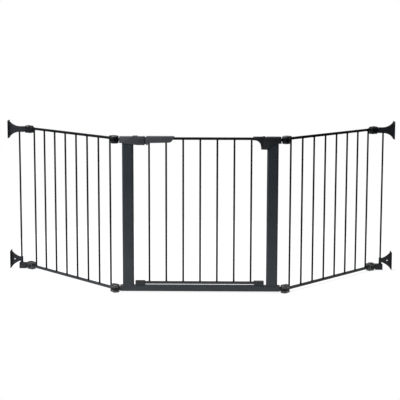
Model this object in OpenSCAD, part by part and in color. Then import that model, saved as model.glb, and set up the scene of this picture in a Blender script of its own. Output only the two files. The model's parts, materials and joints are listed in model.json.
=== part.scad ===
// Freestanding three-panel metal safety gate with a walk-through door.
// A centre frame holds the door, a barred panel swings at each side of it, and each panel
// ends in a swivelling wall mount. X runs along the gate, Y from its front to its back, Z up.
// The origin is on the floor, in the middle of the gate's length and depth.
// All sizes are in millimetres.

/* [Layout] */
// Distance from the middle of the door to each centre pivot
pivot_half = 387; // [350:0.1:470]
// Distance between the two pivots of a side panel
panel_len = 609.6; // [500:0.1:760]
// Angle by which the left panel is folded back
left_fold = 40; // [0:1:80]
// Angle by which the right panel is folded back
right_fold = 40; // [0:1:80]
// Height of the middle of the upper pivots
upper_stack_z = 706; // [580:0.5:850]
// Drop of the housings' and the handle's middle below the middle of the upper pivots
head_down = 3.5; // [2.5:0.5:4]

/* [Rails and bars] */
// Depth of a rail tube, front to back
rail_d = 15; // [13:0.5:17]
// Height of a rail tube
rail_h = 11; // [10:0.5:12.5]
// Corner radius of a rail tube
rail_r = 3; // [1:0.5:3.5]
// Wall of a rail tube
rail_wall = 1.2; // [0.8:0.1:2]
// Diameter of every upright bar
bar_d = 8.4; // [6:0.1:8.5]
// Number of bars in a side panel
panel_bars = 8; // [5:1:11]
// Distance from the centre pivot to the nearest bar of a side panel
first_bar = 30.7; // [27.2:0.1:45]
// Distance from the wall pivot to the nearest bar of a side panel
last_bar = 44.1; // [42:0.1:60]
// Height of a panel's top rail above the middle of the upper pivots
top_rail_up = 5; // [2:0.5:8]
// Drop of a panel's bottom rail below the middle of the lower pivots
bottom_rail_down = 1; // [-4:0.5:8]

/* [Pivots] */
// Height of a pivot, over both fork discs
stack_h = 35; // [30:0.5:37]
// Radius of a fork disc
fork_r = 18.5; // [17:0.5:20]
// Rounding of a fork disc's outer edge
fork_edge = 4; // [1:0.5:6]
// Thickness of the tongue between the fork discs
tongue_t = 11.6; // [10:0.1:13]
// Radius of the tongue's round end
tongue_r = 15; // [12:0.5:15]
// Width of the tongue's arm
tongue_w = 20; // [16:0.5:22]
// Gap above and below the tongue
tongue_gap = 0.4; // [0.3:0.05:0.6]
// Width of the web that joins the two fork discs
web_w = 24; // [20:0.5:24]
// Gap between the tongue's round end and the web
web_gap = 0.6; // [0.4:0.1:2]
// Thickness of the web
web_t = 7.3; // [5:0.1:7.4]
// Length of the plug that enters the rail
plug_len = 16; // [10:1:24]
// Length of the collar round the rail at a wall pivot
collar_len = 12; // [8:1:18]
// Thickness of that collar
collar_wall = 2.5; // [1.5:0.5:3]
// Radius of a pivot bolt's shank
bolt_r = 4; // [3:0.5:5]
// Radius of a pivot bolt's head
bolt_head_r = 10; // [7:0.5:12]
// Height of a pivot bolt's domed head
bolt_head_h = 2.5; // [1.5:0.5:3]
// Height of a pivot bolt's end above the pivot's underside
bolt_lift = 0.4; // [0.2:0.1:0.7]
// Width across the flats of a pivot nut
nut_flats = 13; // [10:1:15]
// Height of a pivot nut
nut_h = 6; // [4:0.5:6.5]
// Depth of the pocket that hides a nut
nut_pocket_h = 6.8; // [6.6:0.1:7.4]
// Radius of that pocket
nut_pocket_r = 8.2; // [8:0.1:9.5]
// Radius of a lock screw
lock_r = 2.5; // [2:0.5:3]
// Length of a lock screw
lock_len = 5; // [4:0.5:7]
// Gap between a lock screw's tip and the pivot bolt
lock_gap = 1; // [0.5:0.1:2]

/* [Centre frame] */
// Width of a post
post_w = 52; // [44:0.5:52.5]
// Depth of a post
post_d = 22; // [18:0.5:23]
// Corner radius of a post
post_r = 9; // [4:0.5:9]
// Wall of a post
post_wall = 1.5; // [1:0.1:2.5]
// Height of the threshold tube's underside
threshold_z = 6.5; // [4:0.5:8]
// Height of the threshold tube's section
threshold_h = 27.5; // [24:0.5:30]
// Depth of the threshold tube
threshold_d = 24; // [22:0.5:28]
// Corner radius of the threshold tube
threshold_r = 4; // [2:0.5:6]
// Wall of the threshold tube
threshold_wall = 1.6; // [1:0.1:2.5]
// Gap between a fork disc and the shoulder of the tongue
shoulder_gap = 2.6; // [2:0.1:2.9]
// Thickness of the flange between a lower tongue and the threshold tube
flange_t = 2.9; // [2:0.1:5]
// Depth of a tongue's shoulder block
shoulder_d = 18; // [14:0.5:18]
// Height of an upper tongue's shoulder block
shoulder_h = 18; // [16:0.5:19]

/* [Post housings] */
// Depth of a housing shell, from its front to the middle
housing_half = 14; // [13:0.5:15]
// Rise of the housings' top above their middle
housing_up = 17.5; // [16:0.5:19]
// Distance from a post's middle to the outer end of its housing
housing_out = 37.5; // [32:0.5:38]
// Gap between a fork disc and the housing beside it
housing_gap = 3; // [3:0.1:6]
// Rounding of a housing's outer corners
housing_round = 3; // [2:0.5:9]
// Thickness of a housing above its post
cap_t = 4; // [3:0.5:6]
// Gap round what a plastic shell clamps
shell_gap = 0.1; // [0.05:0.05:0.2]
// Radius of a housing screw
screw_r = 1.7; // [1.5:0.1:2]
// Radius of a housing screw's head
screw_head_r = 3.2; // [3:0.1:4]
// Height of a housing screw's head
screw_head_h = 1.8; // [1.5:0.1:2]

/* [Latch] */
// Distance from the left post's middle to the latch housing's face
latch_reach = 44.2; // [42:0.1:46]
// Rise of the latch housing's raised corner above its top
latch_crest = 3; // [1:0.5:4]
// Length of that raised corner
crest_len = 20; // [14:0.5:24]
// Length of the slope up to it
crest_slope = 5; // [2:0.5:8]
// Rise of the latch housing's underside at its outer end
latch_foot_rise = 9; // [6:0.5:12]
// Gap between the latch housing and the thumb slider
latch_gap = 0.6; // [0.5:0.1:2.5]
// Length of the thumb slider
slider_len = 31.7; // [28:0.1:36]
// Half depth of the thumb slider
slider_half = 13.5; // [12:0.5:14]
// Wall of the thumb slider
slider_wall = 3; // [2:0.5:3.5]
// Thickness of the thumb slider's end wall
slider_end = 2; // [1.5:0.5:3]
// Length of the raised lip at the end of the slider's top
slider_lip = 6; // [4:0.5:8]
// Length of the slope up to that lip
lip_slope = 3; // [2:0.5:5]
// Drop of the rest of the slider's top
slider_dip = 1; // [0.5:0.5:2]
// Height of the slider's ribs
rib_h = 0.8; // [0.5:0.1:1.2]
// Number of ribs on the slider
rib_count = 5; // [3:1:6]
// Distance from one rib to the next
rib_pitch = 5; // [4:0.1:5.5]
// Width of a rib
rib_w = 2; // [1:0.5:3]
// Length of a rib
rib_len = 18; // [12:1:22]
// Travel of the thumb slider
slider_travel = 7; // [5:0.5:8]
// Gap between the slider and the handle at rest
slider_stop = 8; // [7.5:0.5:10]
// Gap between the slider and the nose that it runs on
slider_gap = 0.4; // [0.3:0.05:0.6]
// Length by which the bolt enters the latch housing
bolt_throw = 4.5; // [3:0.5:6]
// Height of the latch bolt
latch_bolt_h = 10; // [8:0.5:11]
// Depth of the latch bolt
latch_bolt_d = 8; // [6:0.5:9]
// Drop of the latch bolt's middle below the middle of the handle
latch_bolt_down = 4.5; // [3:0.5:6]
// Thickness of the strike plate
strike_t = 1.2; // [1:0.1:1.6]
// Clearance round the latch bolt in the strike
strike_gap = 0.6; // [0.4:0.1:1]

/* [Handle] */
// Length of the handle
handle_len = 127.5; // [115:0.5:150]
// Half depth of the handle
handle_half = 14; // [12.5:0.5:15]
// Rise of the handle's top above its middle
handle_up = 18.5; // [17:0.5:20]
// Drop of the handle's deepest edge below its middle
handle_down = 20.5; // [18:0.5:24]
// Drop of the handle's shallow edge below its middle
grip_down = 11; // [8:0.5:14]
// Length of the handle's deepest edge
deep_len = 6; // [4:0.5:10]
// Rise of the shallow edge towards the handle's tail
grip_slant = 2; // [0:0.5:4]
// Length of the handle's tapered tail
tail_len = 25; // [18:0.5:32]
// Length of the tail past its knee
knee_len = 15; // [10:0.5:17]
// Rise of the tail's knee above the shallow edge
knee_rise = 5; // [4.5:0.5:8]
// Height of the tail's slanted tip
tail_tip = 5; // [3:0.5:8]
// Length of the corner cut off above the tip
tail_corner = 4; // [2:0.5:6]
// Distance from the handle's left end to the hollow in its grip
hollow_start = 20; // [16:0.5:24]
// Wall round a screw inside the handle
boss_wall = 1; // [0.8:0.1:2]
// Distance from the handle's left end to the start of the door's top rail
rail_lead = 5; // [3:0.5:8]
// Distance from the handle's left end to the seat of the latch spring
spring_seat = 5; // [3:0.5:8]
// Wall of a handle shell
handle_wall = 2.6; // [2:0.1:3.5]

/* [Door] */
// Distance from a post's middle to the nearest door bar
door_end_bar = 96.4; // [94:0.1:104]
// Number of door bars
door_bars_n = 7; // [5:1:9]
// Height of the door's bottom rail above the threshold
door_rail_up = 11.5; // [9:0.5:14]
// Distance from the right post's middle to the door's hinge axis
hinge_reach = 41.3; // [40:0.1:44]
// Depth of the gap between the threshold and the door's lower blocks
door_gap = 1.3; // [0.8:0.1:2.5]
// Height of the door's lower blocks
block_h = 18.2; // [17.5:0.1:22]
// Half depth of the door's lower blocks
block_half = 11; // [10:0.5:12]
// Corner radius of the door's lower blocks
block_r = 3; // [1:0.5:4]
// Length of the block at the hinge
hinge_block_len = 46; // [38:0.5:52]
// Length of the block below the latch
latch_block_len = 44.5; // [36:0.5:50]
// Gap between the block below the latch and the left post
latch_block_gap = 6; // [5:0.1:12]
// Length by which the hinge block passes the hinge axis
hinge_block_past = 5.3; // [5:0.1:7]

/* [Door hinge] */
// Drop of the hinge housing's foot below its middle
hinge_down = 39.5; // [36:0.5:44]
// Drop of the hinge housing's outer ledge below its middle
ledge_down = 12.5; // [9:0.5:15]
// Distance from the post's outer face to the start of that ledge
ledge_inset = 6; // [4:0.5:9]
// Distance from the post's inner face to the start of the housing's bend
bend_inset = 3; // [1:0.5:6]
// Length by which the hinge housing passes the hinge axis
hinge_cheek = 3.7; // [2:0.1:4.5]
// Thickness of each ear of the hinge housing
ear_t = 11.5; // [9:0.5:12]
// Radius of the lower ear
lower_ear_r = 12.7; // [11:0.1:13]
// Radius of the upper ear
upper_ear_r = 8.5; // [8:0.1:10]
// Gap between an ear and the door's hinge fitting
ear_gap = 0.5; // [0.4:0.1:1]
// Radius of the hinge fitting's barrel
barrel_r = 7.5; // [6:0.1:8]
// Half depth of the hinge fitting
fitting_half = 12; // [11:0.5:12]
// Distance from the hinge axis to the fitting's far end
fitting_len = 47.7; // [44:0.1:52]
// Distance from the hinge axis to the fitting's near face
fitting_near = 4.2; // [3.8:0.1:5]
// Radius of the fitting's concave lower edge
fitting_arc = 30; // [24:0.5:34]
// Radius of the upper hinge pin
upper_pin_r = 3; // [2.5:0.1:3.5]
// Radius of the upper hinge pin's head
hinge_head_r = 6; // [5:0.5:8]
// Radius of the lower hinge pin
lower_pin_r = 3.5; // [3:0.1:4]
// Width of the lower hinge pin's flange
pin_flange = 2; // [1:0.5:3]
// Thickness of the hinge block above its pin
pin_cover = 3; // [2.5:0.1:5]
// Gap above the lower hinge pin's end
pin_gap = 1; // [0.5:0.1:1.5]
// Gap between the lower ear and the end of the door's rails
ear_rail_gap = 1.5; // [1:0.1:3]
// Radial clearance of everything that turns on a pin
run_gap = 0.05; // [0.02:0.01:0.09]

/* [Springs] */
// Wire diameter of the closing spring
closing_wire = 1.4; // [1:0.1:1.6]
// Mean radius of the closing spring
closing_r = 5.4; // [5.2:0.1:5.6]
// Turns of the closing spring
closing_turns = 4; // [3:1:5]
// Gap between two of its turns
closing_gap = 0.1; // [0.05:0.01:0.3]
// Clearance above the closing spring
spring_play = 0.6; // [0.3:0.1:1]
// Wire diameter of the latch spring
latch_wire = 0.8; // [0.6:0.1:0.9]
// Mean radius of the latch spring
latch_spring_r = 3; // [2.5:0.1:3.2]
// Turns of the latch spring
latch_turns = 6; // [4:1:7]

/* [Wall mounts] */
// Distance from a wall pivot to the wall
wall_reach = 99.6; // [94:0.1:115]
// Height of a wall plate
plate_h = 88; // [80:0.5:96]
// Width of a wall plate
plate_w = 46; // [40:0.5:50]
// Thickness of a wall plate
plate_t = 3; // [2.5:0.5:6]
// Corner radius of a wall plate
plate_r = 3; // [2:0.5:6]
// Spacing of the wall screw holes across the plate
hole_across = 30; // [28:0.5:32]
// Spacing of the wall screw holes up the plate
hole_up = 64; // [56:0.5:68]
// Radius of a wall screw hole
hole_r = 2.6; // [2:0.1:3]
// Radius of a wall screw's countersink
sink_r = 5; // [4:0.1:5.5]
// Height of plate that shows above and below an arm
plate_lip = 1.5; // [1:0.5:3]
// Gap between a fork disc and a mount's arm
arm_gap = 2; // [1.5:0.1:3]
// Height of the upper arm's neck
upper_neck_h = 27; // [24:0.5:32]
// Thickness of the upper arm
upper_arm_t = 18; // [14:0.5:18]
// Length of the upper arm's flare
upper_flare_len = 54; // [44:0.5:58]
// Radius of the upper arm's flare
upper_flare_r = 65; // [65:1:120]
// Height of the lower plate's foot above the floor
plate_up = 6; // [4:0.5:16]
// Height of the lower arm's neck
lower_neck_h = 18; // [14:0.5:24]
// Thickness of the lower arm
lower_arm_t = 10; // [8:0.5:14]
// Length of the lower arm's flare
lower_flare_len = 47; // [40:0.5:49]
// Radius of the lower arm's flare
lower_flare_r = 95; // [70:1:150]
// Distance from the wall pivot to the hanging rod
rod_x = 45; // [40:0.1:46]
// Radius of the collar that holds the rod
rod_collar_r = 7.3; // [6.5:0.1:8]
// Rise of that collar's top above the middle of the lower plate
collar_up = 12; // [10:0.5:16]
// Length by which the clamp screw stands out of the collar
clamp_out = 1; // [0.5:0.5:1.5]
// Length of the rod that is inside the upper arm
rod_in_arm = 14; // [8:0.5:20]
// Length of the rod that is inside the foot block
rod_in_block = 12; // [8:0.5:20]
// Length of the foot block past the rod
foot_past_rod = 12; // [9:0.5:14]
// Height of the foot block's underside
foot_z = 3; // [1:0.5:4]
// Height of the foot block's top
foot_top = 31; // [29:0.5:33]
// Corner radius of the foot block
foot_r = 3; // [1:0.5:4]
// Gap between the foot block and the lower bracket
mount_gap = 0.5; // [0.3:0.1:1]
// Distance from the wall to the eye in the lower arm
eye_from_wall = 20; // [16:0.5:24]
// Drop of the eye below the middle of the lower plate
eye_down = 1; // [0:0.5:6]
// Radius of the eye
eye_r = 4; // [2:0.5:5]

/* [Hidden] */
$fn = 64;

LEFT = -1;
RIGHT = 1;

// Colours of the finishes
steel_black = [0.17, 0.18, 0.19];
plastic_grey = [0.26, 0.26, 0.27];
plastic_dark = [0.15, 0.15, 0.16];
bare_steel = [0.62, 0.62, 0.64];

// Extra length that lets a cutting shape pass right through
cut = 1;

// Levels
lower_stack_z = stack_h / 2;
top_rail_z = upper_stack_z + top_rail_up;
bottom_rail_z = lower_stack_z - bottom_rail_down;
threshold_top = threshold_z + threshold_h;
head_z = upper_stack_z - head_down;
housing_top = head_z + housing_up;
post_top = housing_top - cap_t;
door_rail_z = threshold_top + door_rail_up;
block_low = threshold_top + door_gap;
block_top = block_low + block_h;
disc_t = (stack_h - tongue_t) / 2 - tongue_gap;
latch_bolt_z = head_z - latch_bolt_down;
lower_plate_z = plate_up + plate_h / 2;

// Distances from a pivot
web_start = tongue_r + web_gap;
rail_start = web_start + web_t;
shoulder = fork_r + shoulder_gap;
threshold_end = shoulder + flange_t;
post_inset = fork_r + housing_gap + housing_out;
arm_start = fork_r + arm_gap;
foot_end = rod_x + foot_past_rod;

// Places along the gate
post_x = pivot_half - post_inset;
hinge_x = post_x - hinge_reach;
latch_x = -post_x + latch_reach;
slider_x = latch_x + latch_gap;
handle_x = slider_x + slider_len + slider_stop;
threshold_half = pivot_half - threshold_end;
door_pitch = 2 * (post_x - door_end_bar) / (door_bars_n - 1);
panel_pitch = (panel_len - first_bar - last_bar) / (panel_bars - 1);
latch_block_x = -post_x + post_w / 2 + latch_block_gap;
door_places = [for (i = [0 : door_bars_n - 1]) (i - (door_bars_n - 1) / 2) * door_pitch];

// Distance from the hinge axis to the ends of the door's rails
rail_inset = lower_ear_r + ear_rail_gap;
// Height of the closing spring
spring_h = (closing_turns + 1) * closing_wire + closing_turns * closing_gap;
// Half depth of the handle's nose, inside the slider
nose_half = slider_half - slider_wall - slider_gap;
// Levels of the hanging rod's ends, and of the collar round it
rod_bottom = foot_top - rod_in_block;
rod_top = upper_stack_z - upper_neck_h / 2 + rod_in_arm;
collar_low = foot_top + mount_gap;
collar_top = lower_plate_z + collar_up;

// Depth of the whole gate, and the shift that centres it on the origin
gate_back = panel_len * sin(max(left_fold, right_fold)) + plate_w / 2;
centre_y = (gate_back - fork_r) / 2;

// Screws that hold each pair of housing shells to its post, from the post's axis and the housing's middle
latch_screws = [[0, 5], [13, -9]];
hinge_screws = [[0, 5], [-15, -14]];
// Screws that hold the handle shells together, from the handle's left end and its middle
handle_screws_at = [[34, 1], [70, 1]];

// ---- Shared shapes ----

// A rectangle with round corners, centred on the origin
module rounded_rect(size, r) {
    square([size.x - 2 * r, size.y], center = true);
    square([size.x, size.y - 2 * r], center = true);
    for (sx = [-1, 1]) {
        for (sy = [-1, 1]) {
            translate([sx * (size.x / 2 - r), sy * (size.y / 2 - r)]) circle(r);
        }
    }
}

// A section drawn across the gate, drawn out along X
module along_x(len) {
    rotate([90, 0, 90]) linear_extrude(len) children();
}

// An outline seen from the front, thickened from y0 to y1
module from_front(y0, y1) {
    translate([0, y1, 0]) rotate([90, 0, 0]) linear_extrude(y1 - y0) children();
}

module rail_section(grow = 0) {
    rounded_rect([rail_d + 2 * grow, rail_h + 2 * grow], rail_r + grow);
}

module rail(len) {
    along_x(len) difference() {
        rail_section();
        rail_section(-rail_wall);
    }
}

module post_section(grow = 0) {
    rounded_rect([post_w + 2 * grow, post_d + 2 * grow], post_r + grow);
}

module threshold_section(grow = 0) {
    rounded_rect([threshold_d + 2 * grow, threshold_h + 2 * grow], threshold_r + grow);
}

// A shaft or a bore along Y
module across(r, y0, y1) {
    translate([0, y1, 0]) rotate([90, 0, 0]) cylinder(h = y1 - y0, r = r);
}

// A round bar wound along Z, with its first turn starting at the origin's level
module coil(mean_r, wire, turns, height) {
    sides = 6;
    steps = 16;
    rings = turns * steps;
    rise = height - wire;
    points = [
        for (i = [0 : rings]) for (k = [0 : sides - 1])
            let (a = 360 * i / steps, b = 360 * k / sides)
                [
                    (mean_r + wire / 2 * cos(b)) * cos(a),
                    (mean_r + wire / 2 * cos(b)) * sin(a),
                    wire / 2 + rise * i / rings + wire / 2 * sin(b)
                ]
    ];
    walls = [
        for (i = [0 : rings - 1]) for (k = [0 : sides - 1])
            let (n = (k + 1) % sides)
                [i * sides + k, (i + 1) * sides + k, (i + 1) * sides + n, i * sides + n]
    ];
    start = [for (k = [0 : sides - 1]) k];
    end = [for (k = [sides - 1 : -1 : 0]) rings * sides + k];
    polyhedron(points = points, faces = concat([start], walls, [end]), convexity = 6);
}

// ---- Frames of the moving groups ----

module centred() {
    translate([0, -centre_y, 0]) children();
}

// Mirrors to the left what is drawn for the right
module on_side(side) {
    if (side == LEFT) {
        mirror([1, 0, 0]) children();
    } else {
        children();
    }
}

function fold(side) = side == LEFT ? left_fold : right_fold;

// A side panel's frame: its centre pivot is the origin, and X runs to the wall pivot
module panel_frame(side) {
    centred() on_side(side) translate([pivot_half, 0, 0]) rotate([0, 0, fold(side)]) children();
}

// A wall mount's frame: its pivot is the origin, and X runs to the wall
module mount_frame(side) {
    reach_x = pivot_half + panel_len * cos(fold(side));
    reach_y = panel_len * sin(fold(side));
    centred() on_side(side) translate([reach_x, reach_y, 0]) children();
}

// ---- Pivots ----

// A fork disc, with its outer edge rounded on top
module fork_disc() {
    rotate_extrude() {
        square([fork_r - fork_edge, disc_t]);
        square([fork_r, disc_t - fork_edge]);
        translate([fork_r - fork_edge, disc_t - fork_edge]) circle(fork_edge);
    }
}

// The casting at the end of a panel: two discs, a web, and a plug in the rail
module fork(stack_z, rail_z, collar) {
    low = stack_z - stack_h / 2;
    high = stack_z + stack_h / 2;
    difference() {
        union() {
            translate([0, 0, high - disc_t]) fork_disc();
            translate([0, 0, low + disc_t]) mirror([0, 0, 1]) fork_disc();
            translate([web_start, -web_w / 2, low]) cube([rail_start - web_start, web_w, stack_h]);
            translate([rail_start, 0, rail_z]) along_x(plug_len)
                rail_section(-rail_wall - shell_gap);
            if (collar > 0) {
                translate([rail_start, 0, rail_z]) along_x(collar) difference() {
                    rail_section(collar_wall);
                    rail_section(shell_gap);
                }
            }
        }
        translate([0, 0, low - cut]) cylinder(h = stack_h + 2 * cut, r = bolt_r + run_gap);
        translate([0, 0, low - cut]) cylinder(h = nut_pocket_h + cut, r = nut_pocket_r);
    }
}

// The tongue between two fork discs, reaching back along X to its block
module tongue(stack_z, reach) {
    low = stack_z - tongue_t / 2;
    difference() {
        union() {
            translate([0, 0, low]) cylinder(h = tongue_t, r = tongue_r);
            translate([0, -tongue_w / 2, low]) cube([reach, tongue_w, tongue_t]);
        }
        pivot_cuts(stack_z);
    }
}

// The bore for the pivot bolt and the front hole for the lock screw
module pivot_cuts(stack_z) {
    translate([0, 0, stack_z - stack_h / 2]) cylinder(h = stack_h, r = bolt_r + run_gap);
    translate([0, 0, stack_z]) across(lock_r + run_gap, -tongue_r - cut, 0);
}

// A lock screw with a hexagon socket, seen from the front
module lock_screw(stack_z) {
    tip = -bolt_r - lock_gap;
    translate([0, 0, stack_z]) difference() {
        across(lock_r, tip - lock_len, tip);
        translate([0, tip - lock_len / 2, 0]) rotate([90, 0, 0])
            cylinder(h = lock_len, r = lock_r / 2, $fn = 6);
    }
}

module pivot_bolt(stack_z) {
    low = stack_z - stack_h / 2;
    dome_r = (bolt_head_r * bolt_head_r + bolt_head_h * bolt_head_h) / (2 * bolt_head_h);
    translate([0, 0, low + bolt_lift]) cylinder(h = stack_h - bolt_lift, r = bolt_r);
    translate([0, 0, low + stack_h]) intersection() {
        cylinder(h = bolt_head_h, r = bolt_head_r);
        translate([0, 0, bolt_head_h - dome_r]) sphere(dome_r);
    }
}

// A hexagon nut in the pocket under a pivot
module pivot_nut(stack_z) {
    low = stack_z - stack_h / 2;
    translate([0, 0, low + nut_pocket_h - nut_h]) difference() {
        cylinder(h = nut_h, r = nut_flats / 2 / cos(30), $fn = 6);
        translate([0, 0, -cut]) cylinder(h = nut_h + 2 * cut, r = bolt_r + run_gap);
    }
}

// ---- Centre frame ----

module threshold_tube() {
    color(steel_black) centred() difference() {
        translate([-threshold_half, 0, threshold_z + threshold_h / 2])
            along_x(2 * threshold_half) difference() {
                threshold_section();
                threshold_section(-threshold_wall);
            }
        translate([hinge_x, 0, threshold_z + threshold_h / 2])
            cylinder(h = threshold_h, r = lower_pin_r + run_gap);
    }
}

// A post's tube, drilled for the screws of its housing
module post(screws) {
    difference() {
        translate([0, 0, threshold_top]) linear_extrude(post_top - threshold_top) difference() {
            post_section();
            post_section(-post_wall);
        }
        for (at = screws) {
            translate([at.x, 0, head_z + at.y]) across(screw_r + shell_gap, -post_d, post_d);
        }
    }
}

module left_post() {
    color(steel_black) centred() translate([-post_x, 0, 0]) post(latch_screws);
}

module right_post() {
    color(steel_black) centred() translate([post_x, 0, 0]) post(hinge_screws);
}

// The casting that joins the post or the threshold to a panel, drawn with X pointing inwards
module upper_tongue_shape() {
    tongue(upper_stack_z, shoulder);
    len = post_inset - post_w / 2 - shoulder;
    translate([shoulder, -shoulder_d / 2, upper_stack_z - shoulder_h / 2])
        cube([len, shoulder_d, shoulder_h]);
}

module lower_tongue_shape() {
    tongue(lower_stack_z, shoulder);
    mid_z = threshold_z + threshold_h / 2;
    translate([shoulder, 0, mid_z]) along_x(threshold_end - shoulder)
        threshold_section(-threshold_wall / 2);
    translate([threshold_end, 0, mid_z]) along_x(plug_len)
        threshold_section(-threshold_wall - shell_gap);
}

// A centre pivot's frame, with X pointing to the middle of the gate
module centre_pivot(side) {
    centred() translate([side * pivot_half, 0, 0]) on_side(-side) children();
}

module left_upper_tongue() {
    color(steel_black) centre_pivot(LEFT) upper_tongue_shape();
}

module left_lower_tongue() {
    color(steel_black) centre_pivot(LEFT) lower_tongue_shape();
}

module right_upper_tongue() {
    color(steel_black) centre_pivot(RIGHT) upper_tongue_shape();
}

module right_lower_tongue() {
    color(steel_black) centre_pivot(RIGHT) lower_tongue_shape();
}

module frame_lock_screws() {
    color(bare_steel) for (side = [LEFT, RIGHT]) {
        for (z = [lower_stack_z, upper_stack_z]) {
            centre_pivot(side) lock_screw(z);
        }
    }
}

// ---- Post housings ----

// The space that a post and its tongue take up inside a housing, drawn with X pointing outwards
module housing_core() {
    translate([0, 0, threshold_top]) linear_extrude(post_top - threshold_top) post_section(shell_gap);
    translate([post_w / 2, -shoulder_d / 2 - shell_gap, upper_stack_z - shoulder_h / 2 - shell_gap])
        cube([housing_out, shoulder_d + 2 * shell_gap, shoulder_h + 2 * shell_gap]);
}

// The holes for a housing's screws, with room for each head at the back
module housing_screw_holes(screws) {
    for (at = screws) {
        translate([at.x, 0, head_z + at.y]) {
            across(screw_r + shell_gap, -post_d / 2 - screw_head_h, housing_half + cut);
            across(screw_head_r + shell_gap, housing_half - screw_head_h, housing_half + cut);
        }
    }
}

module housing_screws(screws) {
    for (at = screws) {
        translate([at.x, 0, head_z + at.y]) difference() {
            union() {
                across(screw_r, -post_d / 2 - screw_head_h, housing_half - screw_head_h);
                across(screw_head_r, housing_half - screw_head_h, housing_half);
            }
            across(screw_r / 2, housing_half - screw_head_h / 2, housing_half + cut);
        }
    }
}

// The latch housing's outline from the front, about the left post's axis
module latch_outline() {
    foot = head_z - handle_down;
    crest = housing_top + latch_crest;
    intersection() {
        polygon([
            [-housing_out, foot + latch_foot_rise], [-post_w / 2, foot + latch_foot_rise],
            [latch_reach, foot], [latch_reach, crest], [latch_reach - crest_len, crest],
            [latch_reach - crest_len - crest_slope, housing_top], [-housing_out, housing_top]
        ]);
        translate([-housing_out + post_w, (foot + housing_top) / 2])
            rounded_rect([2 * post_w, housing_top - foot + 2 * latch_crest], housing_round);
        translate([-housing_out, foot]) square([housing_out + latch_reach, crest - foot]);
    }
}

// The pocket that the latch bolt enters, with the strike plate's seat; it is open at the back
module latch_pocket() {
    half_h = latch_bolt_h / 2 + strike_gap;
    depth = latch_gap + bolt_throw + strike_gap;
    front = -latch_bolt_d / 2 - strike_gap;
    translate([latch_reach + latch_gap - depth, front, latch_bolt_z - half_h])
        cube([depth + cut, housing_half - front + cut, 2 * half_h]);
    translate([latch_reach + latch_gap - depth - strike_t, front - strike_t, latch_bolt_z - half_h])
        cube([depth - latch_gap + strike_t, strike_t - front, 2 * half_h]);
}

// An angle of sheet steel behind and beside the latch bolt
module strike_plate() {
    half_h = latch_bolt_h / 2 + strike_gap;
    depth = latch_gap + bolt_throw + strike_gap;
    front = -latch_bolt_d / 2 - strike_gap;
    color(bare_steel) centred() translate([-post_x + latch_reach + latch_gap - depth - strike_t, front, 0]) {
        translate([0, -strike_t, latch_bolt_z - half_h])
            cube([depth - latch_gap + strike_t, strike_t, 2 * half_h]);
        translate([0, 0, latch_bolt_z - half_h]) cube([strike_t, -front, 2 * half_h]);
    }
}

module latch_shell(y0, y1) {
    translate([-post_x, 0, 0]) difference() {
        from_front(y0, y1) latch_outline();
        on_side(LEFT) housing_core();
        housing_screw_holes(latch_screws);
        latch_pocket();
    }
}

module latch_housing_front() {
    color(plastic_grey) centred() latch_shell(-housing_half, 0);
}

module latch_housing_back() {
    color(plastic_grey) centred() latch_shell(0, housing_half);
}

module latch_housing_screws() {
    color(bare_steel) centred() translate([-post_x, 0, 0]) housing_screws(latch_screws);
}

// The hinge housing's outline from the front, about the right post's axis
module hinge_outline() {
    foot = head_z - hinge_down;
    ledge = head_z - ledge_down;
    near = -hinge_reach - hinge_cheek;
    turn_x = post_w / 2 - ledge_inset;
    bend_x = -post_w / 2 + bend_inset;
    run = turn_x - bend_x;
    rise = ledge - foot;
    bend = (run * run + rise * rise) / (2 * rise);
    difference() {
        intersection() {
            translate([near, foot]) square([housing_out - near, housing_top - foot]);
            translate([housing_out - post_w, (foot + housing_top) / 2])
                rounded_rect([2 * post_w, housing_top - foot], housing_round);
        }
        translate([turn_x, foot - cut]) square([housing_out, ledge - foot + cut]);
        intersection() {
            translate([turn_x, ledge - bend]) circle(bend);
            translate([bend_x, foot - cut]) square([run, rise + 2 * cut]);
        }
    }
}

// The two ears that hold the upper hinge pin, about the hinge axis
module ears() {
    translate([0, 0, head_z - hinge_down]) cylinder(h = ear_t, r = lower_ear_r);
    translate([0, 0, housing_top - ear_t]) cylinder(h = ear_t, r = upper_ear_r);
}

module hinge_housing_front() {
    barrel_low = head_z - hinge_down + ear_t;
    color(plastic_dark) centred() translate([post_x, 0, 0]) difference() {
        union() {
            from_front(-housing_half, 0) hinge_outline();
            translate([-hinge_reach, 0, 0]) ears();
        }
        housing_core();
        housing_screw_holes(hinge_screws);
        translate([-hinge_reach, 0, 0]) {
            translate([0, 0, barrel_low])
                cylinder(h = housing_top - ear_t - barrel_low, r = barrel_r + ear_gap);
            translate([0, 0, barrel_low - 2 * ear_t]) cylinder(h = head_z, r = upper_pin_r + run_gap);
        }
    }
}

module hinge_housing_back() {
    swing = norm([fitting_half, fitting_near]) + ear_gap;
    foot = head_z - hinge_down;
    color(plastic_dark) centred() translate([post_x, 0, 0]) difference() {
        from_front(0, housing_half) hinge_outline();
        translate([-hinge_reach - post_w, -cut, foot - cut])
            cube([post_w + swing, housing_half + 2 * cut, housing_top - foot + 2 * cut]);
        housing_core();
        housing_screw_holes(hinge_screws);
    }
}

module hinge_housing_screws() {
    color(bare_steel) centred() translate([post_x, 0, 0]) housing_screws(hinge_screws);
}

// ---- Door hinge ----

// The upper pin, with its flat head on top of the housing
module upper_hinge_pin() {
    low = head_z - hinge_down;
    color(bare_steel) centred() translate([hinge_x, 0, 0]) {
        translate([0, 0, low]) cylinder(h = housing_top - low, r = upper_pin_r);
        translate([0, 0, housing_top]) cylinder(h = bolt_head_h, r = hinge_head_r);
    }
}

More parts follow.
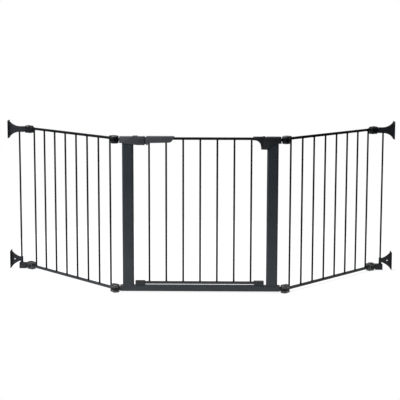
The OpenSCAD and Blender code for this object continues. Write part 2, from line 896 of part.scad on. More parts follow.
module lower_hinge_pin() {
    low = threshold_top - threshold_wall;
    color(bare_steel) centred() translate([hinge_x, 0, 0]) {
        translate([0, 0, low]) cylinder(h = block_top - pin_cover - low, r = lower_pin_r);
        translate([0, 0, low - bolt_head_h]) cylinder(h = bolt_head_h, r = lower_pin_r + pin_flange);
    }
}

// The torsion spring that shuts the door, in the pocket under the hinge block
module closing_spring() {
    color(bare_steel) centred() translate([hinge_x, 0, block_low])
        coil(closing_r, closing_wire, closing_turns, spring_h);
}

// The fitting's outline from the front, about the hinge axis
module fitting_outline() {
    foot = head_z - hinge_down + ear_t + ear_gap;
    near = -lower_ear_r - ear_gap;
    difference() {
        translate([-fitting_len, foot]) square([fitting_len - fitting_near, housing_top - foot]);
        translate([near - fitting_arc, foot]) circle(fitting_arc);
        translate([-fitting_len - cut, foot - cut])
            square([fitting_len + near - fitting_arc + cut, fitting_arc + cut]);
    }
}

module upper_hinge_fitting() {
    low = head_z - hinge_down + ear_t + ear_gap;
    high = housing_top - ear_t - ear_gap;
    color(plastic_dark) centred() translate([hinge_x, 0, 0]) difference() {
        union() {
            from_front(-fitting_half, fitting_half) fitting_outline();
            translate([0, 0, low]) cylinder(h = high - low, r = barrel_r);
        }
        translate([0, 0, high]) cylinder(h = ear_t + ear_gap + cut, r = upper_ear_r + ear_gap);
        translate([0, 0, low - cut]) cylinder(h = high - low + 2 * cut, r = upper_pin_r + run_gap);
        translate([-fitting_len - cut, 0, top_rail_z]) along_x(fitting_len - rail_inset + cut)
            rail_section(shell_gap);
    }
}

// A lower block's body, from x0 over a length
module door_block(len) {
    translate([len / 2, 0, block_low]) linear_extrude(block_h)
        rounded_rect([len, 2 * block_half], block_r);
}

module lower_hinge_block() {
    pocket_h = spring_h + spring_play;
    color(plastic_dark) centred() translate([hinge_x, 0, 0]) difference() {
        translate([hinge_block_past - hinge_block_len, 0, 0]) door_block(hinge_block_len);
        translate([0, 0, block_low - cut]) cylinder(h = pocket_h + cut, r = closing_r + closing_wire);
        translate([0, 0, block_low - cut])
            cylinder(h = block_h - pin_cover + pin_gap + cut, r = lower_pin_r + run_gap);
        translate([-hinge_block_len, 0, door_rail_z]) along_x(hinge_block_len - rail_inset)
            rail_section(shell_gap);
    }
}

module lower_latch_block() {
    color(plastic_dark) centred() translate([latch_block_x, 0, 0]) difference() {
        door_block(latch_block_len);
        translate([latch_block_len - 2 * plug_len, 0, door_rail_z]) along_x(2 * plug_len + cut)
            rail_section(shell_gap);
    }
}

// ---- Door ----

module door_top_rail() {
    from_x = handle_x + rail_lead;
    color(steel_black) centred() translate([from_x, 0, top_rail_z])
        rail(hinge_x - rail_inset - from_x);
}

module door_bottom_rail() {
    from_x = latch_block_x + latch_block_len - 2 * plug_len;
    color(steel_black) centred() translate([from_x, 0, door_rail_z])
        rail(hinge_x - rail_inset - from_x);
}

// Uprights at one spacing, between two rails
module bars(low_rail, high_rail, places, grow = 0) {
    low = low_rail + rail_h / 2 - grow;
    high = high_rail - rail_h / 2 + grow;
    for (x = places) {
        translate([x, 0, low]) cylinder(h = high - low, r = bar_d / 2 + grow);
    }
}

module door_bars() {
    color(steel_black) centred() bars(door_rail_z, top_rail_z, door_places);
}

// The handle's outline from the front, about its left end
module handle_outline() {
    top = head_z + handle_up;
    grip = head_z - grip_down;
    foot = head_z - handle_down;
    drop = grip - foot;
    difference() {
        polygon([
            [0, foot], [deep_len + drop, foot], [deep_len + drop, grip],
            [handle_len - tail_len, grip + grip_slant], [handle_len - knee_len, grip + knee_rise],
            [handle_len, top - tail_tip], [handle_len - tail_corner, top], [0, top]
        ]);
        translate([deep_len + drop, foot]) circle(drop);
    }
}

// The reduced nose of the handle that the thumb slider runs on
module nose_outline() {
    low = head_z - handle_down + slider_wall + slider_gap;
    high = head_z + handle_up - slider_wall - slider_gap;
    back = slider_len + slider_stop - slider_end - slider_travel - slider_gap;
    translate([-back, low]) square([back + cut, high - low]);
}

// The channel for the latch bolt and its spring, open to the left
module bolt_channel() {
    start = slider_len + slider_stop;
    half_h = latch_bolt_h / 2 + slider_gap;
    half_d = latch_bolt_d / 2 + slider_gap;
    translate([-start, -half_d, latch_bolt_z - half_h]) cube([start + spring_seat, 2 * half_d, 2 * half_h]);
}

// The hollow inside the handle's grip
module handle_hollow() {
    low = head_z - grip_down + grip_slant + handle_wall;
    high = head_z + handle_up - handle_wall;
    difference() {
        translate([hollow_start, -handle_half + handle_wall, low])
            cube([handle_len - hollow_start - tail_len, 2 * (handle_half - handle_wall), high - low]);
        for (at = handle_screws_at) {
            translate([at.x, 0, head_z + at.y]) across(screw_head_r + boss_wall, -handle_half, handle_half);
        }
    }
}

module handle_shell(y0, y1, nose0, nose1) {
    difference() {
        translate([handle_x, 0, 0]) {
            from_front(y0, y1) handle_outline();
            from_front(nose0, nose1) nose_outline();
        }
        translate([handle_x, 0, 0]) {
            bolt_channel();
            handle_hollow();
            for (at = handle_screws_at) {
                translate([at.x, 0, head_z + at.y]) {
                    across(screw_r + shell_gap, -handle_half / 2, handle_half + cut);
                    across(screw_head_r + shell_gap, handle_half - screw_head_h, handle_half + cut);
                }
            }
        }
        translate([handle_x + rail_lead - shell_gap, 0, top_rail_z]) along_x(2 * handle_len)
            rail_section(shell_gap);
        bars(door_rail_z, top_rail_z, door_places, shell_gap);
    }
}

module handle_front_shell() {
    color(plastic_grey) centred() handle_shell(-handle_half, 0, -nose_half, 0);
}

module handle_back_shell() {
    color(plastic_grey) centred() handle_shell(0, handle_half, 0, nose_half);
}

module handle_screws() {
    color(bare_steel) centred() translate([handle_x, 0, 0]) for (at = handle_screws_at) {
        translate([at.x, 0, head_z + at.y]) difference() {
            union() {
                across(screw_r, -handle_half / 2, handle_half - screw_head_h);
                across(screw_head_r, handle_half - screw_head_h, handle_half);
            }
            across(screw_r / 2, handle_half - screw_head_h / 2, handle_half + cut);
        }
    }
}

// ---- Latch ----

// A sleeve that slides along the handle's nose, ribbed on its top and front for the thumb
module thumb_slider() {
    foot = head_z - handle_down;
    top = head_z + handle_up;
    first_rib = (slider_len - (rib_count - 1) * rib_pitch - rib_w) / 2;
    color(plastic_grey) centred() translate([slider_x, 0, 0]) difference() {
        union() {
            from_front(-slider_half, slider_half) polygon([
                [0, foot], [slider_len, foot], [slider_len, top],
                [slider_len - slider_lip, top], [slider_len - slider_lip - lip_slope, top - slider_dip],
                [0, top - slider_dip]
            ]);
            for (i = [0 : rib_count - 1]) {
                translate([first_rib + i * rib_pitch, -slider_half - rib_h, head_z - rib_len / 2])
                    cube([rib_w, slider_half, rib_len]);
            }
        }
        translate([slider_end, -slider_half + slider_wall, foot + slider_wall])
            cube([slider_len, 2 * (slider_half - slider_wall), top - foot - 2 * slider_wall]);
        translate([-cut, -latch_bolt_d / 2, latch_bolt_z - latch_bolt_h / 2])
            cube([slider_end + 2 * cut, latch_bolt_d, latch_bolt_h]);
    }
}

// The steel bolt that the slider draws back
module latch_bolt() {
    tip = slider_x - latch_gap - bolt_throw;
    color(bare_steel) centred() translate([tip, -latch_bolt_d / 2, latch_bolt_z - latch_bolt_h / 2])
        cube([latch_gap + bolt_throw + slider_len, latch_bolt_d, latch_bolt_h]);
}

// The spring that pushes the bolt out
module latch_spring() {
    start = slider_x + slider_len;
    color(bare_steel) centred() translate([start, 0, latch_bolt_z]) rotate([0, 90, 0])
        coil(latch_spring_r, latch_wire, latch_turns, handle_x + spring_seat - start);
}

// ---- Side panels ----

module panel_rail(side, z) {
    color(steel_black) panel_frame(side) translate([rail_start, 0, z]) rail(panel_len - 2 * rail_start);
}

module left_panel_top_rail() {
    panel_rail(LEFT, top_rail_z);
}

module left_panel_bottom_rail() {
    panel_rail(LEFT, bottom_rail_z);
}

module right_panel_top_rail() {
    panel_rail(RIGHT, top_rail_z);
}

module right_panel_bottom_rail() {
    panel_rail(RIGHT, bottom_rail_z);
}

module panel_bar_group(side) {
    places = [for (i = [0 : panel_bars - 1]) first_bar + i * panel_pitch];
    color(steel_black) panel_frame(side) bars(bottom_rail_z, top_rail_z, places);
}

module left_panel_bars() {
    panel_bar_group(LEFT);
}

module right_panel_bars() {
    panel_bar_group(RIGHT);
}

module inner_fork(side, stack_z, rail_z) {
    color(steel_black) panel_frame(side) fork(stack_z, rail_z, 0);
}

module outer_fork(side, stack_z, rail_z) {
    color(steel_black) panel_frame(side) translate([panel_len, 0, 0]) mirror([1, 0, 0])
        fork(stack_z, rail_z, collar_len);
}

module left_inner_upper_fork() {
    inner_fork(LEFT, upper_stack_z, top_rail_z);
}

module left_inner_lower_fork() {
    inner_fork(LEFT, lower_stack_z, bottom_rail_z);
}

module left_outer_upper_fork() {
    outer_fork(LEFT, upper_stack_z, top_rail_z);
}

module left_outer_lower_fork() {
    outer_fork(LEFT, lower_stack_z, bottom_rail_z);
}

module right_inner_upper_fork() {
    inner_fork(RIGHT, upper_stack_z, top_rail_z);
}

module right_inner_lower_fork() {
    inner_fork(RIGHT, lower_stack_z, bottom_rail_z);
}

module right_outer_upper_fork() {
    outer_fork(RIGHT, upper_stack_z, top_rail_z);
}

module right_outer_lower_fork() {
    outer_fork(RIGHT, lower_stack_z, bottom_rail_z);
}

// Puts a part at each of a panel's four pivots; the part takes the pivot's middle height
module pivot_bolts(side) {
    color(bare_steel) panel_frame(side) for (x = [0, panel_len]) {
        translate([x, 0, 0]) pivot_bolt(lower_stack_z);
        translate([x, 0, 0]) pivot_bolt(upper_stack_z);
    }
}

module pivot_nuts(side) {
    color(bare_steel) panel_frame(side) for (x = [0, panel_len]) {
        translate([x, 0, 0]) pivot_nut(lower_stack_z);
        translate([x, 0, 0]) pivot_nut(upper_stack_z);
    }
}

module left_pivot_bolts() {
    pivot_bolts(LEFT);
}

module left_pivot_nuts() {
    pivot_nuts(LEFT);
}

module right_pivot_bolts() {
    pivot_bolts(RIGHT);
}

module right_pivot_nuts() {
    pivot_nuts(RIGHT);
}

// ---- Wall mounts ----

// The upper half of an arm's outline: a level neck, then a concave sweep out to the wall plate
module flare_half(start_x, len, half_neck, flare_r) {
    wall_x = wall_reach - plate_t;
    rise = plate_h / 2 - plate_lip - half_neck;
    chord = norm([len, rise]);
    sag = sqrt(flare_r * flare_r - chord * chord / 4);
    difference() {
        polygon([
            [start_x, 0], [start_x, half_neck], [wall_x - len, half_neck],
            [wall_x, half_neck + rise], [wall_x, 0]
        ]);
        intersection() {
            translate([wall_x - len / 2 - sag * rise / chord, half_neck + rise / 2 + sag * len / chord])
                circle(flare_r);
            translate([wall_x - len, 0]) square([len + cut, plate_h]);
        }
    }
}

module arm(start_x, len, neck_h, flare_r, thick, mid_z) {
    translate([0, 0, mid_z]) from_front(-thick / 2, thick / 2) {
        flare_half(start_x, len, neck_h / 2, flare_r);
        mirror([0, 1]) flare_half(start_x, len, neck_h / 2, flare_r);
    }
}

// The plate against the wall, with four countersunk screw holes
module wall_plate(mid_z) {
    translate([wall_reach - plate_t, 0, mid_z]) difference() {
        along_x(plate_t) rounded_rect([plate_w, plate_h], plate_r);
        for (y = [-hole_across / 2, hole_across / 2]) {
            for (z = [-hole_up / 2, hole_up / 2]) {
                translate([0, y, z]) rotate([0, 90, 0]) {
                    translate([0, 0, -cut]) cylinder(h = plate_t + 2 * cut, r = hole_r);
                    cylinder(h = sink_r - hole_r, r1 = sink_r, r2 = hole_r);
                }
            }
        }
    }
}

module upper_bracket(side) {
    color(steel_black) mount_frame(side) difference() {
        union() {
            tongue(upper_stack_z, arm_start);
            arm(arm_start, upper_flare_len, upper_neck_h, upper_flare_r, upper_arm_t, upper_stack_z);
            wall_plate(upper_stack_z);
        }
        rod_bore();
    }
}

module rod_bore() {
    translate([rod_x, 0, rod_bottom]) cylinder(h = rod_top - rod_bottom, r = bar_d / 2 + shell_gap);
}

// The lower arm, cut away where the foot block stands under it
module lower_arm() {
    difference() {
        arm(rod_x, lower_flare_len, lower_neck_h, lower_flare_r, lower_arm_t, lower_plate_z);
        translate([rod_x - cut, -lower_arm_t, 0])
            cube([foot_end - rod_x + cut + mount_gap, 2 * lower_arm_t, collar_low]);
    }
}

module lower_bracket(side) {
    color(steel_black) mount_frame(side) difference() {
        union() {
            lower_arm();
            wall_plate(lower_plate_z);
            translate([rod_x, 0, collar_low]) cylinder(h = collar_top - collar_low, r = rod_collar_r);
        }
        rod_bore();
        translate([wall_reach - eye_from_wall, 0, lower_plate_z - eye_down])
            across(eye_r, -lower_arm_t, lower_arm_t);
        translate([rod_x, 0, (collar_low + collar_top) / 2])
            across(lock_r + run_gap, -2 * rod_collar_r, -bar_d / 2);
    }
}

module mount_rod(side) {
    color(steel_black) mount_frame(side) translate([rod_x, 0, rod_bottom])
        cylinder(h = rod_top - rod_bottom, r = bar_d / 2);
}

module foot_block(side) {
    color(steel_black) mount_frame(side) difference() {
        union() {
            tongue(lower_stack_z, arm_start);
            translate([(arm_start + foot_end) / 2, 0, foot_z]) linear_extrude(foot_top - foot_z)
                rounded_rect([foot_end - arm_start, tongue_w], foot_r);
        }
        rod_bore();
    }
}

// Two pivot lock screws and the screw that clamps the collar
module mount_screws(side) {
    color(bare_steel) mount_frame(side) {
        lock_screw(lower_stack_z);
        lock_screw(upper_stack_z);
        translate([rod_x, 0, (collar_low + collar_top) / 2]) difference() {
            across(lock_r, -rod_collar_r - clamp_out, -bar_d / 2);
            across(lock_r / 2, -rod_collar_r - 2 * clamp_out, -rod_collar_r + clamp_out);
        }
    }
}

module left_upper_bracket() {
    upper_bracket(LEFT);
}

module left_lower_bracket() {
    lower_bracket(LEFT);
}

module left_mount_rod() {
    mount_rod(LEFT);
}

module left_foot_block() {
    foot_block(LEFT);
}

module left_mount_screws() {
    mount_screws(LEFT);
}

module right_upper_bracket() {
    upper_bracket(RIGHT);
}

module right_lower_bracket() {
    lower_bracket(RIGHT);
}

module right_mount_rod() {
    mount_rod(RIGHT);
}

module right_foot_block() {
    foot_block(RIGHT);
}

module right_mount_screws() {
    mount_screws(RIGHT);
}

threshold_tube();
left_post();
right_post();
latch_housing_front();
latch_housing_back();
latch_housing_screws();
strike_plate();
hinge_housing_front();
hinge_housing_back();
hinge_housing_screws();
upper_hinge_pin();
lower_hinge_pin();
closing_spring();
left_upper_tongue();
left_lower_tongue();
right_upper_tongue();
right_lower_tongue();
frame_lock_screws();
door_top_rail();
door_bottom_rail();
door_bars();
handle_front_shell();
handle_back_shell();
handle_screws();
upper_hinge_fitting();
lower_hinge_block();
lower_latch_block();
thumb_slider();
latch_bolt();
latch_spring();
left_panel_top_rail();
left_panel_bottom_rail();
left_panel_bars();
left_inner_upper_fork();
left_inner_lower_fork();
left_outer_upper_fork();
left_outer_lower_fork();
left_pivot_bolts();
left_pivot_nuts();
right_panel_top_rail();
right_panel_bottom_rail();
right_panel_bars();
right_inner_upper_fork();
right_inner_lower_fork();
right_outer_upper_fork();
right_outer_lower_fork();
right_pivot_bolts();
right_pivot_nuts();
left_upper_bracket();
left_lower_bracket();
left_mount_rod();
left_foot_block();
left_mount_screws();
right_upper_bracket();
right_lower_bracket();
right_mount_rod();
right_foot_block();
right_mount_screws();
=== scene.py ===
"""The looks of the folding safety gate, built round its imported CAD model.

Everything is in metres, in the CAD frame.
"""
import json
import math

import bmesh
import bpy
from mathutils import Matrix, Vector


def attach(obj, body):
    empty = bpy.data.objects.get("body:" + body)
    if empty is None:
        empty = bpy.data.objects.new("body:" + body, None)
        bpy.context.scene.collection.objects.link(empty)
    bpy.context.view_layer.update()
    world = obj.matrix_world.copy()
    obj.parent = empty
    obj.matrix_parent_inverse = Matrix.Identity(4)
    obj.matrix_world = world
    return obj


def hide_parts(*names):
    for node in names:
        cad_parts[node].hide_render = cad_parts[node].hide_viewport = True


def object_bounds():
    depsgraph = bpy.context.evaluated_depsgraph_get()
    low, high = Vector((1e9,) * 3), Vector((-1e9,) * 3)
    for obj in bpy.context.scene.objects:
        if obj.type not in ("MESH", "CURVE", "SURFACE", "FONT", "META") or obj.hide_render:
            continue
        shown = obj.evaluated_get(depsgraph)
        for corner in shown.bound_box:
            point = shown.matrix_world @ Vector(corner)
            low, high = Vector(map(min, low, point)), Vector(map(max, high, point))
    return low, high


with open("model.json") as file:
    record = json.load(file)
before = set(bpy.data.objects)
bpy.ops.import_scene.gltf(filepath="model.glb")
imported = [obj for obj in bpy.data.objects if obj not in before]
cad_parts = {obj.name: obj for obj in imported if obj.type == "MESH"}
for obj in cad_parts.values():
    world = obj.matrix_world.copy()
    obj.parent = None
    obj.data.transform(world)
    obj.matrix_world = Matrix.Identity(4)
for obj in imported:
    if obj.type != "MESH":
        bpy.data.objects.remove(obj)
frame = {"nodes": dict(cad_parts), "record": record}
cad_low, cad_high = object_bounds()
NODES = frame["nodes"]
BODY_OF = {n: b for b, members in frame["record"]["behaviour"]["bodies"].items() for n in members}
SLOT_OF = {p["node"]: p["material_slot"] for p in frame["record"]["subparts"]}
MM = 0.001


# ---- Materials ----

class Shader:
    """A small helper that adds and links the nodes of one material."""

    def __init__(self, name):
        self.material = bpy.data.materials.new(name)
        self.material.use_nodes = True
        self.tree = self.material.node_tree
        self.surface = self.tree.nodes["Principled BSDF"]
        coords = self.tree.nodes.new("ShaderNodeTexCoord")
        self.place = coords.outputs["Object"]

    def add(self, kind, inputs=None, **settings):
        node = self.tree.nodes.new(kind)
        for key, value in settings.items():
            setattr(node, key, value)
        for key, value in (inputs or {}).items():
            if isinstance(value, bpy.types.NodeSocket):
                self.tree.links.new(value, node.inputs[key])
            else:
                node.inputs[key].default_value = value
        return node

    def noise(self, scale, detail=2.0, roughness=0.5, stretch=None):
        place = self.place
        if stretch:
            place = self.add("ShaderNodeMapping", {"Vector": place, "Scale": stretch}).outputs["Vector"]
        return self.add("ShaderNodeTexNoise", {
            "Vector": place, "Scale": scale, "Detail": detail, "Roughness": roughness,
        }).outputs["Fac"]

    def ramp(self, value, low, high, to_low, to_high):
        return self.add("ShaderNodeMapRange", {
            "Value": value, "From Min": low, "From Max": high, "To Min": to_low, "To Max": to_high,
        }).outputs["Result"]

    def blend(self, factor, first, second):
        node = self.add("ShaderNodeMix", data_type="RGBA")
        self.tree.links.new(factor, node.inputs[0])
        for socket, value in ((node.inputs[6], first), (node.inputs[7], second)):
            if isinstance(value, bpy.types.NodeSocket):
                self.tree.links.new(value, socket)
            else:
                socket.default_value = (*value, 1.0)
        return node.outputs[2]

    def bump(self, height, strength, distance, under=None):
        inputs = {"Height": height, "Strength": strength, "Distance": distance}
        if under is not None:
            inputs["Normal"] = under
        return self.add("ShaderNodeBump", inputs).outputs["Normal"]

    def finish(self, colour, roughness, normal, metallic=0.0, specular=0.5, coat=0.0, coat_roughness=0.1):
        links = self.tree.links
        links.new(colour, self.surface.inputs["Base Color"])
        links.new(roughness, self.surface.inputs["Roughness"])
        links.new(normal, self.surface.inputs["Normal"])
        self.surface.inputs["Metallic"].default_value = metallic
        self.surface.inputs["Specular IOR Level"].default_value = specular
        self.surface.inputs["Coat Weight"].default_value = coat
        self.surface.inputs["Coat Roughness"].default_value = coat_roughness
        return self.material


def powder_coat(name, low, high, rough, specular=0.4, coat=0.0):
    """Baked powder coat: a slow drift in tone, fine specks, and a faint orange peel."""
    s = Shader(name)
    drift = s.ramp(s.noise(9.0, 3.0), 0.3, 0.7, 0.0, 1.0)
    specks = s.ramp(s.noise(900.0, 1.0), 0.35, 0.75, 0.0, 1.0)
    colour = s.blend(drift, low, high)
    colour = s.blend(s.ramp(specks, 0.0, 1.0, 0.0, 0.22), colour, tuple(min(1.0, c * 2.2) for c in high))
    roughness = s.ramp(s.noise(120.0, 3.0), 0.3, 0.7, rough - 0.05, rough + 0.07)
    normal = s.bump(s.noise(700.0, 2.0, 0.6), 0.28, 0.00012)
    normal = s.bump(s.noise(160.0, 2.0), 0.16, 0.0003, normal)
    return s.finish(colour, roughness, normal, specular=specular, coat=coat, coat_roughness=0.25)


def moulded_plastic(name, low, high, rough, specular=0.4):
    """Spark-textured moulded plastic: a dense fine grain, with a painted sheen that lightens the colour on
    the grain's high spots.
    """
    s = Shader(name)
    settings = {"Vector": s.place, "Scale": 1500.0, "Randomness": 1.0}
    grain = s.add("ShaderNodeTexVoronoi", settings, feature="F1")
    height = s.ramp(grain.outputs["Distance"], 0.0, 0.7, 1.0, 0.0)
    drift = s.ramp(s.noise(14.0, 3.0), 0.3, 0.7, 0.0, 1.0)
    colour = s.blend(drift, low, high)
    # Painted sheen: the colour is lightened on the grain's high spots, where light would catch them.
    colour = s.blend(s.ramp(height, 0.3, 1.0, 0.0, 0.3), colour, tuple(min(1.0, c * 1.5) for c in high))
    roughness = s.ramp(s.noise(60.0, 3.0), 0.3, 0.7, rough - 0.05, rough + 0.06)
    normal = s.bump(height, 0.35, 0.00012)
    normal = s.bump(s.noise(45.0, 2.0), 0.12, 0.0006, normal)
    return s.finish(colour, roughness, normal, specular=specular)


def plated_steel(name, low, high, rough):
    """Zinc-plated steel: fine turning marks and a cloudy tone."""
    s = Shader(name)
    drift = s.ramp(s.noise(220.0, 3.0), 0.3, 0.7, 0.0, 1.0)
    colour = s.blend(drift, low, high)
    marks = s.noise(260.0, 2.0, 0.6, stretch=(1.0, 1.0, 14.0))
    roughness = s.ramp(marks, 0.3, 0.7, rough - 0.08, rough + 0.1)
    normal = s.bump(marks, 0.2, 0.00006)
    return s.finish(colour, roughness, normal, metallic=1.0)


FLOOR_FADE = (-0.34, -0.20)


def floor_paint(name):
    """White paint that glows, so that the gate's shadows stay faint.

    In front of the gate it reflects more and glows less. Behind the gate it stays near plain white, because
    a floor that is brighter than white eats into the edges of thin bars.
    """
    s = Shader(name)
    way = s.add("ShaderNodeSeparateXYZ", {"Vector": s.place}).outputs["Y"]
    front = s.ramp(way, *FLOOR_FADE, 1.0, 0.0)
    tone = s.blend(s.noise(3.0, 3.0), (0.86, 0.86, 0.86), (0.9, 0.9, 0.9))
    tone = s.blend(s.ramp(front, 0.0, 1.0, 0.0, 0.4), (0.2, 0.2, 0.2), tone)
    roughness = s.ramp(s.noise(2.0, 2.0), 0.3, 0.7, 0.7, 0.85)
    glow = s.ramp(front, 0.0, 1.0, 0.86, 0.7)
    s.surface.inputs["Emission Color"].default_value = (1.0, 1.0, 1.0, 1.0)
    s.tree.links.new(glow, s.surface.inputs["Emission Strength"])
    return s.finish(tone, roughness, s.bump(s.noise(300.0), 0.02, 0.0005), specular=0.1)


LOOKS = {
    "post": powder_coat(
        "post_powder_coat", (0.018, 0.024, 0.030), (0.025, 0.031, 0.038), 0.42, 0.3),
    # Painted shade: the bars get a much darker copy of the frame's powder coat than the posts and rails, for
    # the shade the thin round bars show.
    "bar": powder_coat(
        "bar_powder_coat_painted_shade", (0.004, 0.005, 0.007), (0.008, 0.009, 0.011), 0.44, 0.05),
    "rail": powder_coat(
        "rail_powder_coat", (0.016, 0.019, 0.023), (0.023, 0.026, 0.030), 0.42, 0.25),
    "knuckle": powder_coat(
        "knuckle_gloss_coat", (0.008, 0.009, 0.010), (0.014, 0.015, 0.016), 0.26, 0.5, 0.3),
    # Painted shade: the tongues get a darker copy of the knuckles' black coat, standing in for the shadow
    # between the fork's discs.
    "tongue": powder_coat(
        "tongue_coat_painted_shade", (0.004, 0.004, 0.005), (0.007, 0.007, 0.008), 0.34, 0.2),
    "bracket": moulded_plastic(
        "bracket_plastic", (0.010, 0.012, 0.015), (0.016, 0.018, 0.022), 0.45, 0.25),
    "grey": moulded_plastic(
        "housing_grey_plastic", (0.046, 0.048, 0.054), (0.059, 0.061, 0.068), 0.5, 0.3),
    "slider": moulded_plastic(
        "slider_grey_plastic", (0.032, 0.034, 0.038), (0.042, 0.044, 0.049), 0.5, 0.3),
    "dark": moulded_plastic(
        "housing_dark_plastic", (0.012, 0.014, 0.016), (0.018, 0.020, 0.023), 0.42, 0.3),
    "steel": plated_steel(
        "zinc_plated_steel", (0.40, 0.40, 0.41), (0.52, 0.52, 0.51), 0.34),
    "black_steel": plated_steel(
        "black_oxide_steel", (0.018, 0.019, 0.022), (0.035, 0.036, 0.040), 0.36),
}
BY_SLOT = {"grey_plastic": "grey", "dark_plastic": "dark", "bare_steel": "steel"}
BLACK_SCREWS = ("pivot_bolts", "lock_screws", "mount_screws", "upper_hinge_pin")


def look_of(node):
    """The name of the finish that a CAD node has."""
    if node in ("left_post", "right_post", "threshold_tube"):
        return "post"
    if "bottom_rail" in node:
        return "rail"
    if "_fork" in node:
        return "knuckle"
    if "_tongue" in node:
        return "tongue"
    if "_bracket" in node or "_foot_block" in node:
        return "bracket"
    if any(part in node for part in BLACK_SCREWS):
        return "black_steel"
    if node == "thumb_slider":
        return "slider"
    return BY_SLOT.get(SLOT_OF[node], "bar")


def dress(obj, look):
    obj.data.materials.clear()
    obj.data.materials.append(LOOKS[look])


for name, obj in NODES.items():
    dress(obj, look_of(name))


# ---- Pieces ----

def new_piece(name, mesh, body, look):
    """Adds a mesh to the scene as a piece that rides on a CAD body."""
    obj = bpy.data.objects.new(name, mesh)
    bpy.context.scene.collection.objects.link(obj)
    dress(obj, look)
    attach(obj, body)
    return obj


def softened(node, width, segments=3, angle=28.0):
    """Stands for a CAD node with the same shape, its sharp edges rounded over as a moulded piece's are."""
    source = NODES[node]
    work = bmesh.new()
    work.from_mesh(source.data)
    bmesh.ops.remove_doubles(work, verts=work.verts, dist=2e-6)
    bmesh.ops.dissolve_limit(work, angle_limit=math.radians(1.0), verts=work.verts, edges=work.edges)
    work.normal_update()
    mesh = bpy.data.meshes.new(node + "_rounded")
    work.to_mesh(mesh)
    work.free()
    obj = new_piece(node + "_rounded", mesh, BODY_OF[node], look_of(node))
    bevel = obj.modifiers.new("edges", "BEVEL")
    bevel.width = width
    bevel.segments = segments
    bevel.limit_method = "ANGLE"
    bevel.angle_limit = math.radians(angle)
    bevel.use_clamp_overlap = True
    bevel.harden_normals = False
    depsgraph = bpy.context.evaluated_depsgraph_get()
    rounded = bpy.data.meshes.new_from_object(obj.evaluated_get(depsgraph))
    obj.modifiers.clear()
    obj.data = rounded
    for polygon in rounded.polygons:
        polygon.use_smooth = True
    rounded.set_sharp_from_angle(angle=math.radians(32.0))
    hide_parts(node)
    return obj


ROUNDED = {
    "latch_housing_front": 1.4, "latch_housing_back": 1.4,
    "hinge_housing_front": 1.2, "hinge_housing_back": 1.2,
    "handle_front_shell": 1.6, "handle_back_shell": 1.6,
    "thumb_slider": 1.2, "upper_hinge_fitting": 1.0,
    "lower_hinge_block": 1.2, "lower_latch_block": 1.2,
}
for node, width in ROUNDED.items():
    softened(node, width * MM)


# Sizes of the CAD model that the weld beads follow
BAR_R = 4.2 * MM
RAIL_HALF_H = 5.5 * MM
GATE_Y = -0.198172
PIVOT_X = 0.387
FOLD = math.radians(40.0)
DOOR_BARS = 7
DOOR_PITCH = 77.2 * MM
PANEL_BARS = 8
PANEL_PITCH = 76.4 * MM
FIRST_BAR = 30.7 * MM
BEAD_R = 0.9 * MM
# Distance from the middle of a bar to the middle of its bead, which sinks a little into the bar
BEAD_REACH = BAR_R + 0.3 * BEAD_R


def rail_z(node):
    """Height of the axis of a level rail."""
    heights = [v.co.z for v in NODES[node].data.vertices]
    return (min(heights) + max(heights)) / 2


def add_bead(work, place, along, axis_z, way, steps=28, ring=6):
    """A weld bead round the foot of a bar, where it meets its rail."""
    across = Vector((-along.y, along.x, 0.0))
    height = axis_z + way * RAIL_HALF_H
    loops = []
    for k in range(steps):
        turn = 2 * math.pi * k / steps
        out = along * math.cos(turn) + across * math.sin(turn)
        wobble = 1.0 + 0.12 * math.sin(7 * turn + 40.0 * place.x)
        loop = []
        for j in range(ring):
            roll = 2 * math.pi * j / ring
            reach = BEAD_REACH + BEAD_R * wobble * math.cos(roll)
            spot = place + out * reach
            loop.append(work.verts.new((spot.x, spot.y, height + BEAD_R * wobble * math.sin(roll))))
        loops.append(loop)
    for k in range(steps):
        first, second = loops[k], loops[(k + 1) % steps]
        for j in range(ring):
            face = work.faces.new((first[j], second[j], second[(j + 1) % ring], first[(j + 1) % ring]))
            face.smooth = True


def weld_beads(body, along, low_rail, low_places, top_rail, top_places):
    """All the beads of one body, as one piece."""
    work = bmesh.new()
    for place in low_places:
        add_bead(work, place, along, rail_z(low_rail), 1)
    for place in top_places:
        add_bead(work, place, along, rail_z(top_rail), -1)
    bmesh.ops.recalc_face_normals(work, faces=work.faces)
    mesh = bpy.data.meshes.new(body + "_weld_beads")
    work.to_mesh(mesh)
    work.free()
    return new_piece(body + "_weld_beads", mesh, body, "bar")


door_along = Vector((1.0, 0.0, 0.0))
middle_bar = (DOOR_BARS - 1) / 2
door_places = [Vector(((k - middle_bar) * DOOR_PITCH, GATE_Y, 0.0)) for k in range(DOOR_BARS)]
# At the top, the handle hides the first two joints, and the last one, beside the hinge fitting, has no bead
weld_beads("door", door_along, "door_bottom_rail", door_places, "door_top_rail", door_places[2:6])
for side, name in ((-1, "left_panel"), (1, "right_panel")):
    along = Vector((side * math.cos(FOLD), math.sin(FOLD), 0.0))
    pivot = Vector((side * PIVOT_X, GATE_Y, 0.0))
    places = [pivot + along * (FIRST_BAR + k * PANEL_PITCH) for k in range(PANEL_BARS)]
    weld_beads(name, along, name + "_bottom_rail", places, name + "_top_rail", places)


# ---- Floor, light and camera ----

def area_light(name, place, aim, size, power, colour=(1.0, 1.0, 1.0)):
    data = bpy.data.lights.new(name, "AREA")
    data.shape = "RECTANGLE"
    data.size, data.size_y = size
    data.energy = power
    data.color = colour
    obj = bpy.data.objects.new(name, data)
    bpy.context.scene.collection.objects.link(obj)
    obj.location = place
    obj.rotation_euler = (Vector(aim) - Vector(place)).to_track_quat("-Z", "Y").to_euler()
    return obj


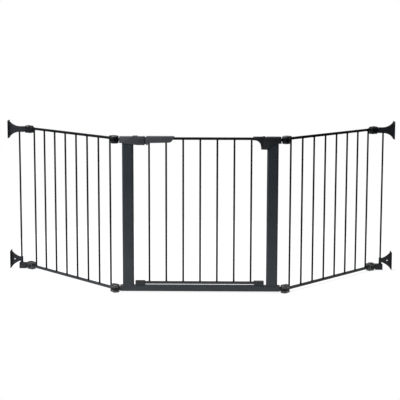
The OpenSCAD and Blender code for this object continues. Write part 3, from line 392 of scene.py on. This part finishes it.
def floor_disc(radius, rings=6, steps=64):
    """A round pale floor, a little below the lowest CAD face."""
    work = bmesh.new()
    floor_z = cad_low.z - 0.0002
    previous = [work.verts.new((0.0, 0.0, floor_z))]
    for ring in range(1, rings + 1):
        reach = radius * ring / rings
        turns = (2 * math.pi * k / steps for k in range(steps))
        current = [work.verts.new((reach * math.cos(a), reach * math.sin(a), floor_z)) for a in turns]
        for k in range(steps):
            a, b = current[k], current[(k + 1) % steps]
            if ring == 1:
                work.faces.new((previous[0], a, b))
            else:
                work.faces.new((previous[k], a, b, previous[(k + 1) % steps]))
        previous = current
    mesh = bpy.data.meshes.new("studio_floor")
    work.to_mesh(mesh)
    work.free()
    obj = bpy.data.objects.new("studio_floor", mesh)
    bpy.context.scene.collection.objects.link(obj)
    obj.data.materials.append(floor_paint("studio_floor_paint"))
    return obj


def studio_world(seen, front, back):
    """A surround that looks white and lights the gate softly, little from the front and more from behind."""
    surround = bpy.data.worlds.new("studio")
    surround.use_nodes = True
    nodes, links = surround.node_tree.nodes, surround.node_tree.links
    shade = nodes["Background"]
    shade.inputs["Color"].default_value = (1.0, 1.0, 1.0, 1.0)
    way = nodes.new("ShaderNodeTexCoord")
    split = nodes.new("ShaderNodeSeparateXYZ")
    links.new(way.outputs["Generated"], split.inputs["Vector"])
    glow = nodes.new("ShaderNodeMapRange")
    links.new(split.outputs["Y"], glow.inputs["Value"])
    glow.inputs["From Min"].default_value = -0.3
    glow.inputs["From Max"].default_value = 0.8
    glow.inputs["To Min"].default_value = front
    glow.inputs["To Max"].default_value = back
    ray = nodes.new("ShaderNodeLightPath")
    pick = nodes.new("ShaderNodeMix")
    links.new(ray.outputs["Is Camera Ray"], pick.inputs[0])
    links.new(glow.outputs["Result"], pick.inputs[2])
    pick.inputs[3].default_value = seen
    links.new(pick.outputs[0], shade.inputs["Strength"])
    bpy.context.scene.world = surround


floor_disc(1.35)
area_light("key_light", (-1.5, -1.1, 1.7), (-0.3, -0.3, 0.1), (1.2, 1.2), 48.0)
area_light("top_light", (-0.3, 0.4, 2.8), (0.0, 0.0, 0.0), (2.8, 2.6), 80.0)
studio_world(1.0, 0.04, 0.45)

# The camera's height, turn and lens were fitted to the photograph
CAMERA_PITCH, CAMERA_ROLL, CAMERA_YAW = 90.0 - 6.084, -0.126, 0.504
camera_data = bpy.data.cameras.new("camera")
camera_data.sensor_width = 36.0
camera_data.lens = 80.87
camera_data.shift_y = -0.2
camera_data.clip_start, camera_data.clip_end = 0.05, 60.0
camera = bpy.data.objects.new("camera", camera_data)
bpy.context.scene.collection.objects.link(camera)
camera.location = (0.0328, -4.2181, 1.2238)
camera.rotation_euler = [math.radians(a) for a in (CAMERA_PITCH, CAMERA_ROLL, CAMERA_YAW)]
bpy.context.scene.camera = camera

settings = bpy.context.scene.view_settings
settings.view_transform = "Standard"
settings.look = "None"
